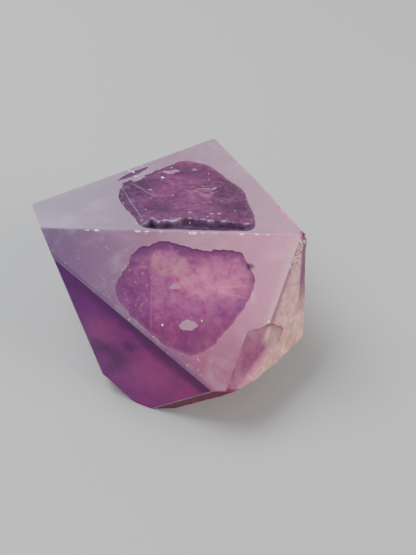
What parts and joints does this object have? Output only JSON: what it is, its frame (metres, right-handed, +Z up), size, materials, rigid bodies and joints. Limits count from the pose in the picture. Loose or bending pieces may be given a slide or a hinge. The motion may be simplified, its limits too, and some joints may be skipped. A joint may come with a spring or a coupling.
{
  "type": "amethyst point",
  "caption": "Single purple quartz termination lying on a flat base, with ground frosted faces around glassy hollows and a raw broken end.",
  "frame": {"origin": "middle of the bounding box, on the surface that it rests on", "axes": "+Z up, +X along the ridge between the two ground faces from the tip to the broken end, +Y away from the front"},
  "size_m": [0.0548, 0.065, 0.0342],
  "materials": {
    "amethyst": "see-through violet quartz, frosted where ground, glassy in the hollows and on natural faces, pale and rough where broken"
  },
  "bodies": {
    "root": {"amethyst_point": "amethyst"}
  },
  "joints": []
}
